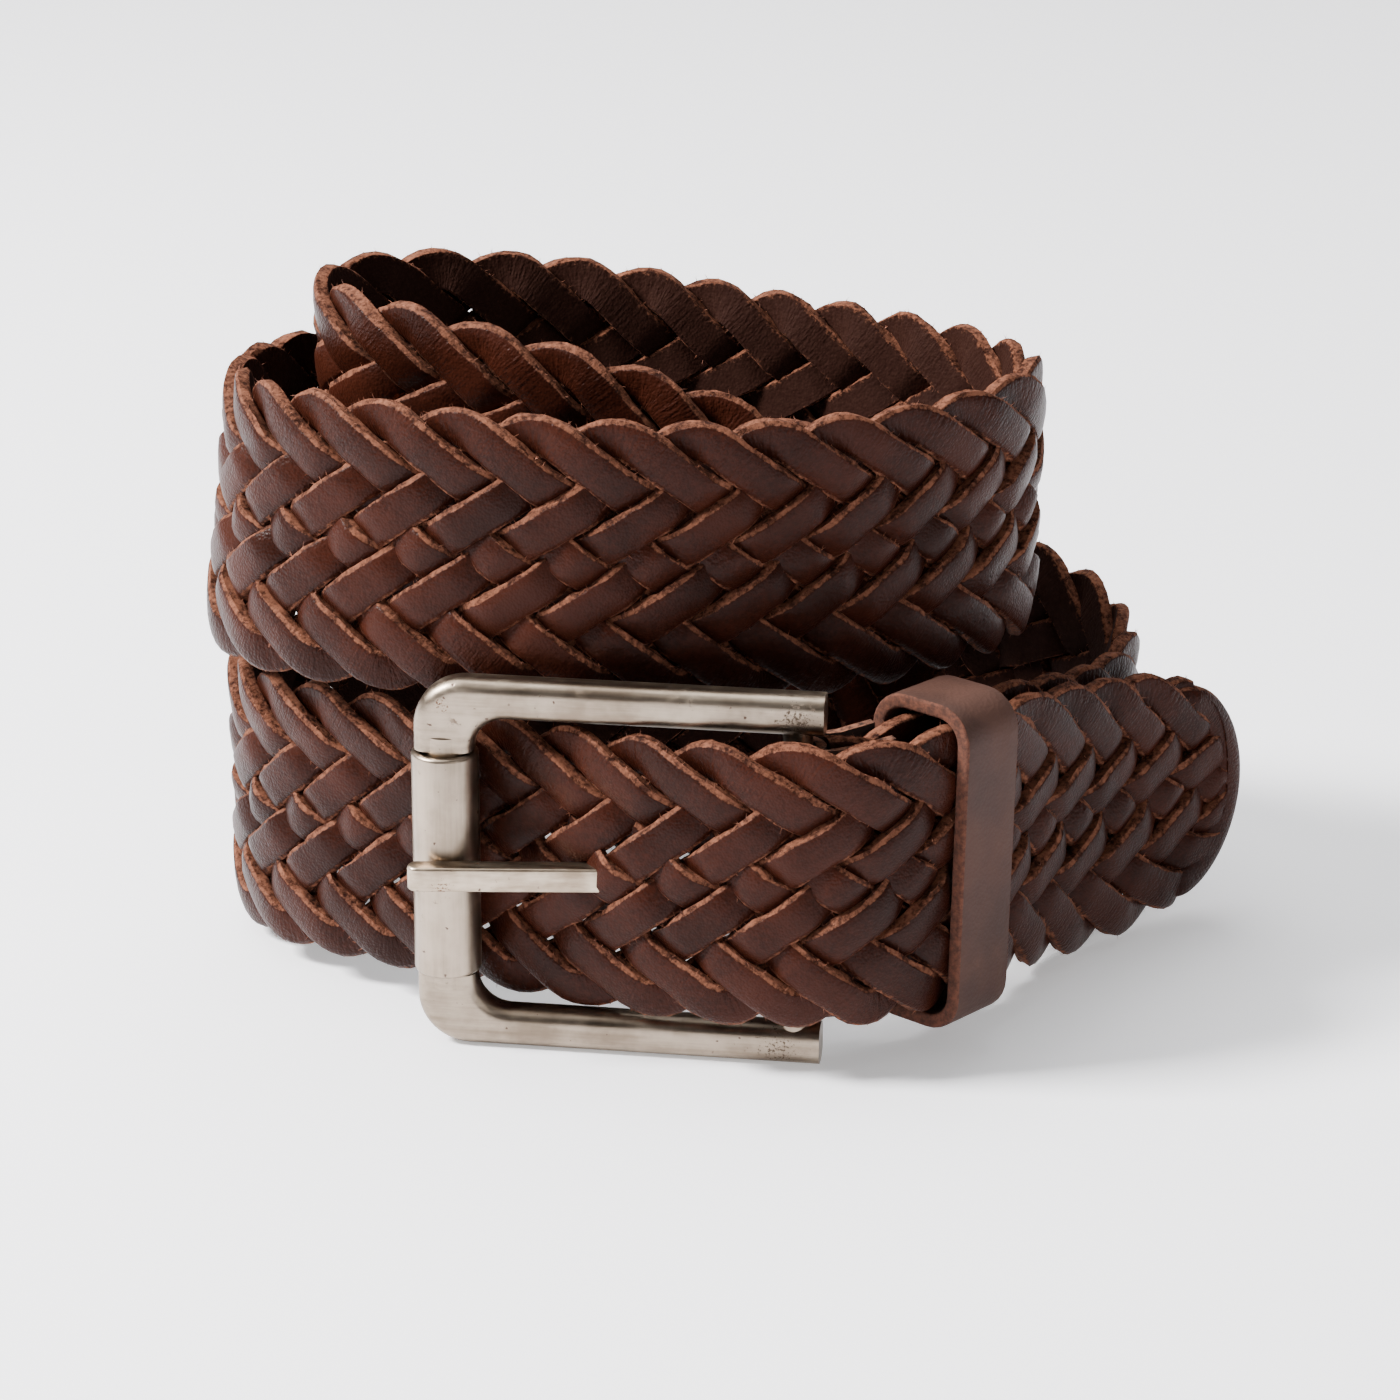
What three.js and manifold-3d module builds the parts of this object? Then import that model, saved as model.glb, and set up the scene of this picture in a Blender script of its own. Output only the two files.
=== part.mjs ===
import * as THREE from 'three';
import { mergeVertices } from 'three/addons/utils/BufferGeometryUtils.js';
import Module from 'manifold-3d';

// A braided leather belt, wound in three turns, its end led through its own buckle and keeper.
// Millimetres, +Z up. The buckle faces -Y, with its roller at the left.
// The belt stands on its edges, and the origin lies on the surface under its middle.

// Strap
const strapWidth = 40;
const strapThickness = 4.4;
const edgeRounding = 1.6;
const edgeFlatShare = 0.4;
const humpPitch = 10.3;
const humpDepth = 1.3;
const tipLength = 30;
const tipEndWidth = 12;
const tipExtraStations = [0.012, 0.045];
const stationsPerHump = 4;

// Coil, measured along the middle of its innermost turn
const coilWidth = 135;
const coilDepth = 72;
const turnGap = 0.7;

// Buckle, whose hinge bar lies outside the coil's innermost turn by buckleLayer turns.
// It is turned by buckleTurn degrees, with the roller towards the coil.
const buckleLayer = 2;
const hingeShare = 0.1;
const buckleTurn = 8;
const armHeight = 5.5;
const strapSideGap = 0.7;
const frameDepth = 5;
const frameEdgeBevel = 1;
const cornerRadius = 7;
const cornerBlockWidth = 8;
const cornerBlockHeight = 10.2;
const cornerFillet = 4.5;
const barSpacing = 47;
const armOverrun = 3.6;
const rollerRadius = 4.5;
const rollerWall = 1.2;
const rollerEdgeBevel = 0.3;
const rollerEndGap = 0.3;
const rollerBoreGap = 0.4;
const hingeBarRadius = 2;

// Prong
const prongHeight = 3.4;
const prongThickness = 3;
const prongOverrun = 4;
const prongSeatGap = 0.3;
const prongBoreGap = 0.3;
const prongEdgeBevel = 0.8;
const prongSlotGap = 0.4;

// Chape, the plain leather fold that ties the strap to the hinge bar
const chapeThickness = 1.4;
const chapeEdgeInset = 1;
const chapeKeeperGap = 2.4;
const chapeFit = 0.35;
const strapInset = 7;

// Keeper loop
const keeperWidth = 11;
const keeperThickness = 2;
const keeperSlack = 0.9;
const keeperCornerRadius = 3.2;
const keeperDistance = 13;
const keeperPitch = 6;

const runningGap = 0.5;

// Places that follow from the sizes above
const turnPitch = strapThickness + turnGap;
const frameHeight = strapWidth + 2 * (strapSideGap + armHeight);
const frameMiddle = frameHeight / 2;
const strapLift = armHeight + strapSideGap;
const turn = THREE.MathUtils.degToRad(buckleTurn);
const hinge = new THREE.Vector2(hingeShare * coilWidth, -coilDepth / 2 - buckleLayer * turnPitch);
const roller = new THREE.Vector2(hinge.x - barSpacing * Math.cos(turn), hinge.y + barSpacing * Math.sin(turn));
const buckleBack = new THREE.Vector2(Math.sin(turn), Math.cos(turn));
const foldRadius = hingeBarRadius + chapeFit + chapeThickness;
const closePitch = strapThickness + runningGap;
const chapeRoom = 2 * chapeFit + chapeThickness;

const leather = new THREE.MeshStandardMaterial({ color: 0x4b2b25, roughness: 0.55, metalness: 0 });
const plainLeather = new THREE.MeshStandardMaterial({ color: 0x4a3029, roughness: 0.6, metalness: 0 });
const satinMetal = new THREE.MeshStandardMaterial({ color: 0xb3aca4, roughness: 0.35, metalness: 1 });

// Control rows of the strap's middle line, walked from the buckle end to the free tip.
// across and along are shares of half the coil's width and depth. layer counts turns outwards.
// lift is the height of the lower edge as a share of the strap's width.
// lean, in degrees, moves the top edge inwards.
const coilRows = [
  // across, along, layer, lift, lean
  // lower outer turn, from behind the keeper round the right and the back
  [0.71, 0.0, 2, 0.0, 0],
  [0.81, 0.44, 2, 0.01, 0],
  [0.66, 0.85, 2, 0.13, 0],
  [0.3, 1.08, 2, 0.31, 0],
  [-0.14, 1.08, 2, 0.62, 0],
  [-0.58, 0.88, 2, 1.03, 2],
  [-0.82, 0.28, 2, 1.07, 6],
  // upper front, lying on the buckle's stretch
  [-0.89, -0.33, 1, 1.12, 7],
  [-0.61, -0.76, 1, 1.18, 4],
  [-0.2, -0.89, 1, 1.16, 0],
  [0.19, -0.72, 1, 1.11, -3],
  [0.5, -0.35, 1, 1.12, -3],
  [0.66, 0.11, 1, 1.09, 0],
  // upper back, rising to the left
  [0.51, 0.59, 1, 1.08, 0],
  [0.14, 0.86, 1, 1.1, 0],
  [-0.28, 0.92, 1, 1.24, 0],
  [-0.62, 0.67, 1, 1.32, -2],
  // inner turn, sinking to the right
  [-0.81, 0.26, 0, 1.34, -2],
  [-0.57, -0.16, 0, 1.33, 0],
  [-0.08, -0.38, 0, 1.16, 2],
  [0.33, -0.34, 0, 0.84, 2],
  [0.52, -0.08, 0, 0.58, 1],
  [0.46, 0.35, 0, 0.34, 0],
  // lower inner turn, down to the surface at the back and round the left
  [0.21, 0.79, 0, 0.14, 0],
  [-0.31, 0.98, 0, 0.03, 0],
  [-0.76, 0.75, 0, 0.0, 0],
  [-0.99, 0.31, 0, 0.01, 0],
  [-0.91, -0.37, 0, 0.06, 0],
];

// The stretch through the buckle runs straight, behind the roller and over the hinge bar.
const buckleRows = [
  // share of the way from roller to hinge bar, bulge towards the front in half thicknesses, lift
  [-0.13, -0.47, 0.85],
  [0.44, 1.03, 0.92],
  [0.97, 1.05, 1.3],
];

// The free end, from the keeper to the tip, in the coil's columns
const freeEndRows = [
  [0.35, -1.2, 2, 0.19, 0],
  [0.51, -0.68, 2, 0.17, 0],
  [0.67, -0.23, 2, 0.01, 0],
  [1.0, 0.21, 2, 0.0, 0],
];

// The buckle end lies behind the free end, inside the keeper.
const buckleEndRows = [
  // row of the free end, share of the way to the next one, share of the chape's room between
  [0, 0.3, 1],
  [0, 0.9, 0.4],
  [1, 0.5, 0],
];

function coilPoint([across, along, layer, lift, lean]) {
  const middle = new THREE.Vector2((across * coilWidth) / 2, (along * coilDepth) / 2);
  const outwards = middle.clone().normalize().multiplyScalar(layer * turnPitch);
  middle.add(outwards);
  return { point: new THREE.Vector3(middle.x, middle.y, lift * strapWidth), lean };
}

function bucklePoint([share, bulge, lift]) {
  const halfStrap = strapThickness / 2;
  const behindRoller = roller.clone().addScaledVector(buckleBack, rollerRadius + runningGap + halfStrap);
  const overHinge = hinge.clone().addScaledVector(buckleBack, -foldRadius - runningGap - halfStrap);
  const place = behindRoller.lerp(overHinge, share).addScaledVector(buckleBack, -bulge * halfStrap);
  return { point: new THREE.Vector3(place.x, place.y, lift * strapLift), lean: 0 };
}

function pointBehind(freeEnd, [row, share, room]) {
  const way = freeEnd[row + 1].point.clone().sub(freeEnd[row].point);
  const middle = freeEnd[row].point.clone().addScaledVector(way, share);
  const inwards = new THREE.Vector3(-way.y, way.x, 0).normalize();
  return { point: middle.addScaledVector(inwards, closePitch + room * chapeRoom), lean: 0 };
}

function strapRows() {
  const freeEnd = freeEndRows.map(coilPoint);
  const buckleEnd = buckleEndRows.map((row) => pointBehind(freeEnd, row));
  const start = new THREE.Vector3(hinge.x, hinge.y, strapLift);
  start.addScaledVector(buckleEnd[0].point.clone().sub(start).setZ(0).normalize(), strapInset);
  return [
    { point: start, lean: 0 },
    ...buckleEnd,
    ...coilRows.map(coilPoint),
    ...buckleRows.map(bucklePoint),
    ...freeEnd,
  ];
}

// Uniform cubic B-spline through the rows, sampled closely and measured along its length
function measureRoute(rows, samplesPerRow = 24) {
  const values = rows.map(({ point, lean }) => [point.x, point.y, point.z, lean]);
  const mirror = (end, next) => end.map((value, i) => 2 * value - next[i]);
  const last = values.length - 1;
  const control = [mirror(values[0], values[1]), ...values, mirror(values[last], values[last - 1])];
  const samples = [];
  for (let span = 0; span < last; span++) {
    const count = span === last - 1 ? samplesPerRow + 1 : samplesPerRow;
    for (let step = 0; step < count; step++) {
      const t = step / samplesPerRow;
      const weights = [(1 - t) ** 3, 3 * t ** 3 - 6 * t ** 2 + 4, 3 * (t + t ** 2 - t ** 3) + 1, t ** 3];
      samples.push(control[span].map((_, k) => weights.reduce((sum, w, i) => sum + w * control[span + i][k], 0) / 6));
    }
  }
  let length = 0;
  return samples.map((sample, i) => {
    const point = new THREE.Vector3(...sample);
    if (i > 0) length += point.distanceTo(new THREE.Vector3(...samples[i - 1]));
    return { point, lean: sample[3], length };
  });
}

const route = measureRoute(strapRows());
const strapLength = route[route.length - 1].length;

// Middle, direction, width axis and outward axis of the strap at a distance from its buckle end
function strapFrame(distance) {
  let i = route.findIndex((sample) => sample.length >= distance);
  if (i < 0) i = route.length - 1;
  i = Math.max(i, 1);
  const [a, b] = [route[i - 1], route[i]];
  const share = (distance - a.length) / (b.length - a.length);
  const before = route[Math.max(i - 2, 0)].point;
  const after = route[Math.min(i + 1, route.length - 1)].point;
  const along = b.point.clone().sub(before).lerp(after.clone().sub(a.point), share).normalize();
  const up = new THREE.Vector3(0, 0, 1).addScaledVector(along, -along.z).normalize();
  up.applyAxisAngle(along, THREE.MathUtils.degToRad(-THREE.MathUtils.lerp(a.lean, b.lean, share)));
  const out = along.clone().cross(up);
  const middle = a.point.clone().lerp(b.point, share);
  middle.z += strapWidth / 2;
  return { middle, along, up, out };
}

// A closed band swept through stations, each with its own frame and its section in up and out
function sweepBand(stations) {
  const sides = stations[0].section.length;
  const positions = [];
  for (const { middle, up, out, section } of stations) {
    for (const [height, depth] of section) {
      const corner = middle.clone().addScaledVector(up, height).addScaledVector(out, depth);
      positions.push(corner.x, corner.y, corner.z);
    }
  }
  const index = [];
  for (let ring = 0; ring + 1 < stations.length; ring++) {
    for (let side = 0; side < sides; side++) {
      const next = (side + 1) % sides;
      const [a, b] = [ring * sides + side, ring * sides + next];
      index.push(a, b, b + sides, a, b + sides, a + sides);
    }
  }
  const end = (stations.length - 1) * sides;
  for (let side = 1; side + 1 < sides; side++) {
    index.push(0, side + 1, side);
    index.push(end, end + side, end + side + 1);
  }
  const geometry = new THREE.BufferGeometry();
  geometry.setAttribute('position', new THREE.Float32BufferAttribute(positions, 3));
  geometry.setIndex(index);
  return geometry;
}

const wasm = await Module();
wasm.setup();

function toSolid(geometry) {
  const plain = geometry.clone();
  plain.deleteAttribute('normal');
  plain.deleteAttribute('uv');
  const merged = mergeVertices(plain, 1e-4);
  const vertProperties = new Float32Array(merged.attributes.position.array);
  const triVerts = new Uint32Array(merged.index.array);
  return new wasm.Manifold(new wasm.Mesh({ numProp: 3, vertProperties, triVerts }));
}

function toGeometry(solid) {
  const mesh = solid.getMesh();
  const geometry = new THREE.BufferGeometry();
  geometry.setAttribute('position', new THREE.Float32BufferAttribute(mesh.vertProperties, 3));
  geometry.setIndex(Array.from(mesh.triVerts));
  return geometry;
}

function uprightCylinder(radius, height, x, y, z, sides = 16) {
  return new THREE.CylinderGeometry(radius, radius, height, sides).rotateX(Math.PI / 2).translate(x, y, z);
}

// Strap: one band whose edges swell where each strand of the braid turns back
function strapHalfWidth(distance, phase, pitch) {
  const hump = Math.abs(Math.cos((Math.PI * distance) / pitch + phase));
  const half = strapWidth / 2 - humpDepth * (1 - hump);
  const toTip = Math.max(tipLength - (strapLength - distance), 0) / tipLength;
  const taper = 1 - Math.sqrt(Math.max(1 - toTip ** 2, 0));
  return half - ((strapWidth - tipEndWidth) / 2) * taper;
}

function strapSection(distance, pitch) {
  const top = strapHalfWidth(distance, 0, pitch);
  const bottom = strapHalfWidth(distance, Math.PI / 2, pitch);
  const face = strapThickness / 2;
  const rim = face * edgeFlatShare;
  return [
    [top, -rim],
    [top, rim],
    [top - edgeRounding, face],
    [-bottom + edgeRounding, face],
    [-bottom, rim],
    [-bottom, -rim],
    [-bottom + edgeRounding, -face],
    [top - edgeRounding, -face],
  ];
}

function buildStrap() {
  const humps = Math.round(strapLength / humpPitch);
  const pitch = strapLength / humps;
  const count = humps * stationsPerHump;
  const distances = Array.from({ length: count + 1 }, (_, i) => (strapLength * i) / count);
  distances.push(...tipExtraStations.map((share) => strapLength - share * tipLength));
  distances.sort((a, b) => a - b);
  const stations = distances.map((distance) => ({
    ...strapFrame(distance),
    section: strapSection(distance, pitch),
  }));
  const band = toSolid(sweepBand(stations));
  return toGeometry(band.subtract(toSolid(prongShank(prongSlotGap))));
}

// Chape: plain leather folded round the hinge bar, its two tails holding the strap's end
function buildChape() {
  const tailLength = keeperDistance - keeperWidth / 2 - chapeKeeperGap;
  const offset = strapThickness / 2 + chapeFit + chapeThickness / 2;
  const tailSteps = 6;
  const foldSteps = 8;
  const tail = Array.from({ length: tailSteps + 1 }, (_, i) => strapFrame((tailLength * i) / tailSteps));
  const half = strapWidth / 2 - chapeEdgeInset;
  const depth = chapeThickness / 2;
  const section = [
    [half, -depth],
    [half, depth],
    [-half, depth],
    [-half, -depth],
  ];
  const place = ({ middle, out }, side) => middle.clone().addScaledVector(out, side * offset);
  const front = tail.map((frame) => place(frame, 1)).reverse();
  const back = tail.map((frame) => place(frame, -1));
  const radius = foldRadius - chapeThickness / 2;
  const lead = Math.atan2(tail[0].along.y, tail[0].along.x);
  const fold = Array.from({ length: foldSteps + 1 }, (_, i) => {
    const angle = lead - Math.PI / 2 - (Math.PI * i) / foldSteps;
    return new THREE.Vector3(hinge.x + radius * Math.cos(angle), hinge.y + radius * Math.sin(angle), frameMiddle);
  });
  const points = [...front, ...fold, ...back];
  const stations = points.map((middle, i) => {
    const along = points[Math.min(i + 1, points.length - 1)].clone().sub(points[Math.max(i - 1, 0)]);
    along.z = 0;
    along.normalize();
    const up = new THREE.Vector3(0, 0, 1);
    return { middle, up, out: along.clone().cross(up), section };
  });
  const slotHeight = prongHeight + 2 * prongSlotGap;
  const slotEnd = foldRadius + prongSlotGap;
  const slot = new THREE.BoxGeometry(4 * slotEnd, 4 * foldRadius, slotHeight);
  slot.translate(hinge.x - slotEnd, hinge.y, frameMiddle);
  return toGeometry(toSolid(sweepBand(stations)).subtract(toSolid(slot)));
}

// Keeper: a plain leather ring round the free end and the buckle end
function buildKeeper() {
  const { middle, along, up, out } = strapFrame(keeperDistance);
  const low = -strapThickness / 2 - keeperSlack;
  const high = keeperPitch + strapThickness / 2 + keeperSlack;
  const half = strapWidth / 2 + keeperSlack;
  const ring = roundedRectangle(new THREE.Shape(), low, high, half, keeperThickness);
  ring.holes.push(roundedRectangle(new THREE.Path(), low, high, half, 0));
  const geometry = new THREE.ExtrudeGeometry(ring, { depth: keeperWidth, bevelEnabled: false, curveSegments: 4 });
  geometry.translate(0, 0, -keeperWidth / 2);
  const placing = new THREE.Matrix4().makeBasis(out, up, along.clone().negate()).setPosition(middle);
  return geometry.applyMatrix4(placing);
}

function roundedRectangle(path, low, high, half, grow) {
  const [left, right, top] = [low - grow, high + grow, half + grow];
  const radius = keeperCornerRadius + grow;
  path.moveTo(left + radius, -top);
  path.lineTo(right - radius, -top);
  path.absarc(right - radius, -top + radius, radius, -Math.PI / 2, 0);
  path.lineTo(right, top - radius);
  path.absarc(right - radius, top - radius, radius, 0, Math.PI / 2);
  path.lineTo(left + radius, top);
  path.absarc(left + radius, top - radius, radius, Math.PI / 2, Math.PI);
  path.lineTo(left, -top + radius);
  path.absarc(left + radius, -top + radius, radius, Math.PI, 1.5 * Math.PI);
  return path;
}

// Puts a metal piece, made with the hinge bar at x 0 and the roller on -X, where the buckle lies
function placeBuckle(geometry) {
  return geometry.rotateZ(-turn).translate(hinge.x, hinge.y, 0);
}

// Buckle frame: two arms with square corner blocks, joined by the roller bar and the hinge bar
function armSolid() {
  const left = -barSpacing - cornerBlockWidth / 2;
  const right = armOverrun;
  const inner = left + cornerBlockWidth;
  const shape = new THREE.Shape();
  shape.moveTo(right, 0);
  shape.lineTo(right, armHeight);
  shape.lineTo(inner + cornerFillet, armHeight);
  shape.absarc(inner + cornerFillet, armHeight + cornerFillet, cornerFillet, 1.5 * Math.PI, Math.PI, true);
  shape.lineTo(inner, cornerBlockHeight);
  shape.lineTo(left, cornerBlockHeight);
  shape.lineTo(left, cornerRadius);
  shape.absarc(left + cornerRadius, cornerRadius, cornerRadius, Math.PI, 1.5 * Math.PI);
  const arm = new THREE.ExtrudeGeometry(shape, {
    depth: frameDepth - 2 * frameEdgeBevel,
    bevelThickness: frameEdgeBevel,
    bevelSize: frameEdgeBevel,
    bevelOffset: -frameEdgeBevel,
    bevelSegments: 2,
    curveSegments: 5,
  });
  arm.translate(0, 0, frameEdgeBevel - frameDepth / 2).rotateX(Math.PI / 2);
  return placeBuckle(arm);
}

function buildFrame() {
  const rollerBarRadius = rollerRadius - rollerWall - rollerBoreGap;
  const lower = toSolid(armSolid());
  const upper = toSolid(armSolid()).mirror([0, 0, 1]).translate([0, 0, frameHeight]);
  const rollerBarHeight = frameHeight - cornerBlockHeight;
  const hingeBarHeight = frameHeight - armHeight;
  const rollerBar = uprightCylinder(rollerBarRadius, rollerBarHeight, roller.x, roller.y, frameMiddle);
  const hingeBar = uprightCylinder(hingeBarRadius, hingeBarHeight, hinge.x, hinge.y, frameMiddle);
  return toGeometry(lower.add(upper).add(toSolid(rollerBar)).add(toSolid(hingeBar)));
}

// Roller: a tube that turns on the roller bar
function buildRoller() {
  const half = frameHeight / 2 - cornerBlockHeight - rollerEndGap;
  const bore = rollerRadius - rollerWall;
  const edge = rollerEdgeBevel;
  const profile = [
    [bore, -half],
    [rollerRadius - edge, -half],
    [rollerRadius, -half + edge],
    [rollerRadius, half - edge],
    [rollerRadius - edge, half],
    [bore, half],
    [bore, -half],
  ].map(([x, y]) => new THREE.Vector2(x, y));
  return new THREE.LatheGeometry(profile, 24).rotateX(Math.PI / 2);
}

// Prong: an eye round the hinge bar and a shank that comes out through the strap onto the roller
function prongShank(growth) {
  const reach = rollerRadius + prongSeatGap + prongThickness / 2;
  const slant = Math.atan2(reach, barSpacing);
  const length = barSpacing / Math.cos(slant) + prongOverrun + growth;
  const half = prongThickness / 2 + growth;
  const bevel = growth > 0 ? 0 : prongEdgeBevel;
  const shape = new THREE.Shape();
  shape.moveTo(0, -half);
  shape.lineTo(length - half, -half);
  shape.absarc(length - half, 0, half, -Math.PI / 2, Math.PI / 2);
  shape.lineTo(0, half);
  const depth = prongHeight + 2 * growth;
  const shank = new THREE.ExtrudeGeometry(shape, {
    depth: depth - 2 * bevel,
    bevelEnabled: bevel > 0,
    bevelThickness: bevel,
    bevelSize: bevel,
    bevelOffset: -bevel,
    bevelSegments: 2,
    curveSegments: 4,
  });
  shank.translate(0, 0, bevel - depth / 2).rotateZ(Math.PI + slant);
  return placeBuckle(shank.translate(0, 0, frameMiddle));
}

function buildProng() {
  const eye = toSolid(uprightCylinder(foldRadius, prongHeight, hinge.x, hinge.y, frameMiddle, 24));
  const boreRadius = hingeBarRadius + prongBoreGap;
  const bore = toSolid(uprightCylinder(boreRadius, 2 * prongHeight, hinge.x, hinge.y, frameMiddle, 24));
  return toGeometry(eye.add(toSolid(prongShank(0))).subtract(bore));
}

const belt = new THREE.Group();
const coil = new THREE.Group();

function addPiece(name, geometry, material) {
  const piece = new THREE.Mesh(geometry, material);
  piece.name = name;
  coil.add(piece);
  return piece;
}

addPiece('braided_strap', buildStrap(), leather);
addPiece('buckle_chape', buildChape(), plainLeather);
addPiece('keeper_loop', buildKeeper(), plainLeather);
addPiece('buckle_frame', buildFrame(), satinMetal);
addPiece('prong', buildProng(), satinMetal);
addPiece('roller', buildRoller(), satinMetal).position.set(roller.x, roller.y, frameMiddle);

// The origin goes under the middle of the whole belt.
belt.add(coil);
belt.updateMatrixWorld(true);
const box = new THREE.Box3().setFromObject(belt, true);
const centre = box.getCenter(new THREE.Vector3());
coil.position.set(-centre.x, -centre.y, -box.min.z);

export default belt;
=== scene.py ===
"""A braided leather belt wound in three standing turns, its end led through its own roller buckle."""

import math

import bpy
import numpy as np
from mathutils import Matrix, Quaternion, Vector


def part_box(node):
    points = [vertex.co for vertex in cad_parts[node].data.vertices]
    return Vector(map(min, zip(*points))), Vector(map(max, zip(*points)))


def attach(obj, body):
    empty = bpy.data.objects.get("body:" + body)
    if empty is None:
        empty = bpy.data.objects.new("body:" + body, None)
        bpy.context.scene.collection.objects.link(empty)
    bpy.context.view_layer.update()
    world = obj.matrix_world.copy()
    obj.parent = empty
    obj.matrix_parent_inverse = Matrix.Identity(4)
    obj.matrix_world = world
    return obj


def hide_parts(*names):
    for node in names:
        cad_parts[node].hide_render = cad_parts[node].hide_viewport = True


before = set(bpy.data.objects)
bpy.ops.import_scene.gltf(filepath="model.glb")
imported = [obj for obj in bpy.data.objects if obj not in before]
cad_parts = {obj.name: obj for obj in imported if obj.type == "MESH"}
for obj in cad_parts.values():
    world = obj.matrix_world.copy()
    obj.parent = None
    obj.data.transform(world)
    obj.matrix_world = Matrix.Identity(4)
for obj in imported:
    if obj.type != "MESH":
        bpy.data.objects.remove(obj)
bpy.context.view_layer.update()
MM = 0.001


# Studio: a pale seamless table under a large soft light from the upper left, as for a catalogue picture.
# The camera looks down on the buckle's side with a long lens.
CAMERA_RISE = math.radians(20.35)
CAMERA_ROLL = math.radians(0.25)
CAMERA_DISTANCE = 614.4 * MM
CAMERA_TARGET = Vector((-4.6, 2.4, 34.2)) * MM
camera_data = bpy.data.cameras.new("camera")
camera_data.lens = 111.7
camera_data.sensor_width = 36
camera = bpy.data.objects.new("camera", camera_data)
bpy.context.scene.collection.objects.link(camera)
camera_back = Vector((0, -math.cos(CAMERA_RISE), math.sin(CAMERA_RISE)))
camera.location = CAMERA_TARGET + CAMERA_DISTANCE * camera_back
camera_turn = camera_back.to_track_quat("Z", "Y") @ Quaternion((0, 0, 1), CAMERA_ROLL)
camera.rotation_euler = camera_turn.to_euler()
bpy.context.scene.camera = camera


class Paint:
    """One socket in a material's node tree. Arithmetic on it adds Math nodes."""

    def __init__(self, tree, socket=None):
        self.tree = tree
        self.socket = socket

    def node(self, kind, settings=None, inputs=None, output=0):
        """Adds a node, sets its settings, then gives its sockets values or links."""
        made = self.tree.nodes.new(kind)
        for name, value in (settings or {}).items():
            setattr(made, name, value)
        for name, value in (inputs or {}).items():
            if isinstance(value, Paint):
                self.tree.links.new(value.socket, made.inputs[name])
            else:
                made.inputs[name].default_value = value
        return Paint(self.tree, made.outputs[output])

    def maths(self, operation, *values):
        return self.node("ShaderNodeMath", {"operation": operation}, dict(enumerate(values)))

    def __add__(self, other):
        return self.maths("ADD", self, other)

    __radd__ = __add__

    def __sub__(self, other):
        return self.maths("SUBTRACT", self, other)

    def __rsub__(self, other):
        return self.maths("SUBTRACT", other, self)

    def __mul__(self, other):
        return self.maths("MULTIPLY", self, other)

    __rmul__ = __mul__

    def __truediv__(self, other):
        return self.maths("DIVIDE", self, other)

    def feed(self, socket):
        self.tree.links.new(self.socket, socket)

    def step(self, low, high):
        """0 below low and 1 above high, with a smooth way between"""
        settings = {"interpolation_type": "SMOOTHSTEP"}
        return self.node("ShaderNodeMapRange", settings, {"Value": self, 1: low, 2: high})

    def mixed(self, first, second):
        """first where this is 0, second where it is 1"""
        settings = {"data_type": "RGBA"}
        return self.node("ShaderNodeMix", settings, {0: self, 6: first, 7: second}, output=2)


def new_material(name):
    """A material with only a shader and an output, and the Paint to add nodes with"""
    material = bpy.data.materials.new(name)
    material.use_nodes = True
    tree = material.node_tree
    return material, tree.nodes["Principled BSDF"], Paint(tree)


def linear(red, green, blue):
    """A colour as it looks, from 0 to 255, as Blender's linear colour"""
    shares = [channel / 255 for channel in (red, green, blue)]
    return (*[((v + 0.055) / 1.055) ** 2.4 if v > 10 / 255 else v / 12.92 for v in shares], 1)


bpy.ops.object.select_all(action="DESELECT")
bpy.ops.mesh.primitive_plane_add(size=6, location=(0, 0, -0.1 * MM))
table = bpy.context.object
table.name = "table"
material, shader, paint = new_material("table")
shader.inputs["Base Color"].default_value = linear(246, 246, 251)
shader.inputs["Roughness"].default_value = 0.65
shader.inputs["Specular IOR Level"].default_value = 0.2
shader.inputs["Emission Color"].default_value = (1, 1, 1, 1)
shader.inputs["Emission Strength"].default_value = 0.4
table.data.materials.append(material)


def add_light(name, place, target, size, power, colour):
    data = bpy.data.lights.new(name, "AREA")
    data.shape = "RECTANGLE"
    data.size, data.size_y = size
    data.energy = power
    data.color = colour
    light = bpy.data.objects.new(name, data)
    bpy.context.scene.collection.objects.link(light)
    light.location = place
    light.rotation_euler = (Vector(place) - Vector(target)).to_track_quat("Z", "Y").to_euler()


add_light("key", (-0.85, -0.12, 0.82), (0, 0, 0.04), (0.28, 0.28), 50, (1, 0.985, 0.965))
add_light("overhead", (-0.25, 0.4, 1.3), (0, 0, 0), (1.3, 1.0), 19, (1, 1, 1))
add_light("fill", (0.5, -0.9, 0.4), (0, 0, 0.04), (0.8, 0.6), 2.4, (1, 0.97, 0.94))
# The room round the table is bright overhead and behind, as under a large reflector. On the camera's side it
# is dark.
world = bpy.data.worlds.new("studio")
world.use_nodes = True
sky = Paint(world.node_tree)
sky_way = sky.node("ShaderNodeTexCoord")
sky_behind = sky.node("ShaderNodeSeparateXYZ", {}, {"Vector": sky_way}, output=1)
sky_height = sky.node("ShaderNodeSeparateXYZ", {}, {"Vector": sky_way}, output=2)
sky_brightness = (sky_height + 0.45 * sky_behind).step(0.15, 0.9)
sky_shader = world.node_tree.nodes["Background"]
sky_brightness.mixed(linear(28, 28, 29), linear(255, 255, 255)).feed(sky_shader.inputs["Color"])
sky_shader.inputs["Strength"].default_value = 0.6
bpy.context.scene.world = world


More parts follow.
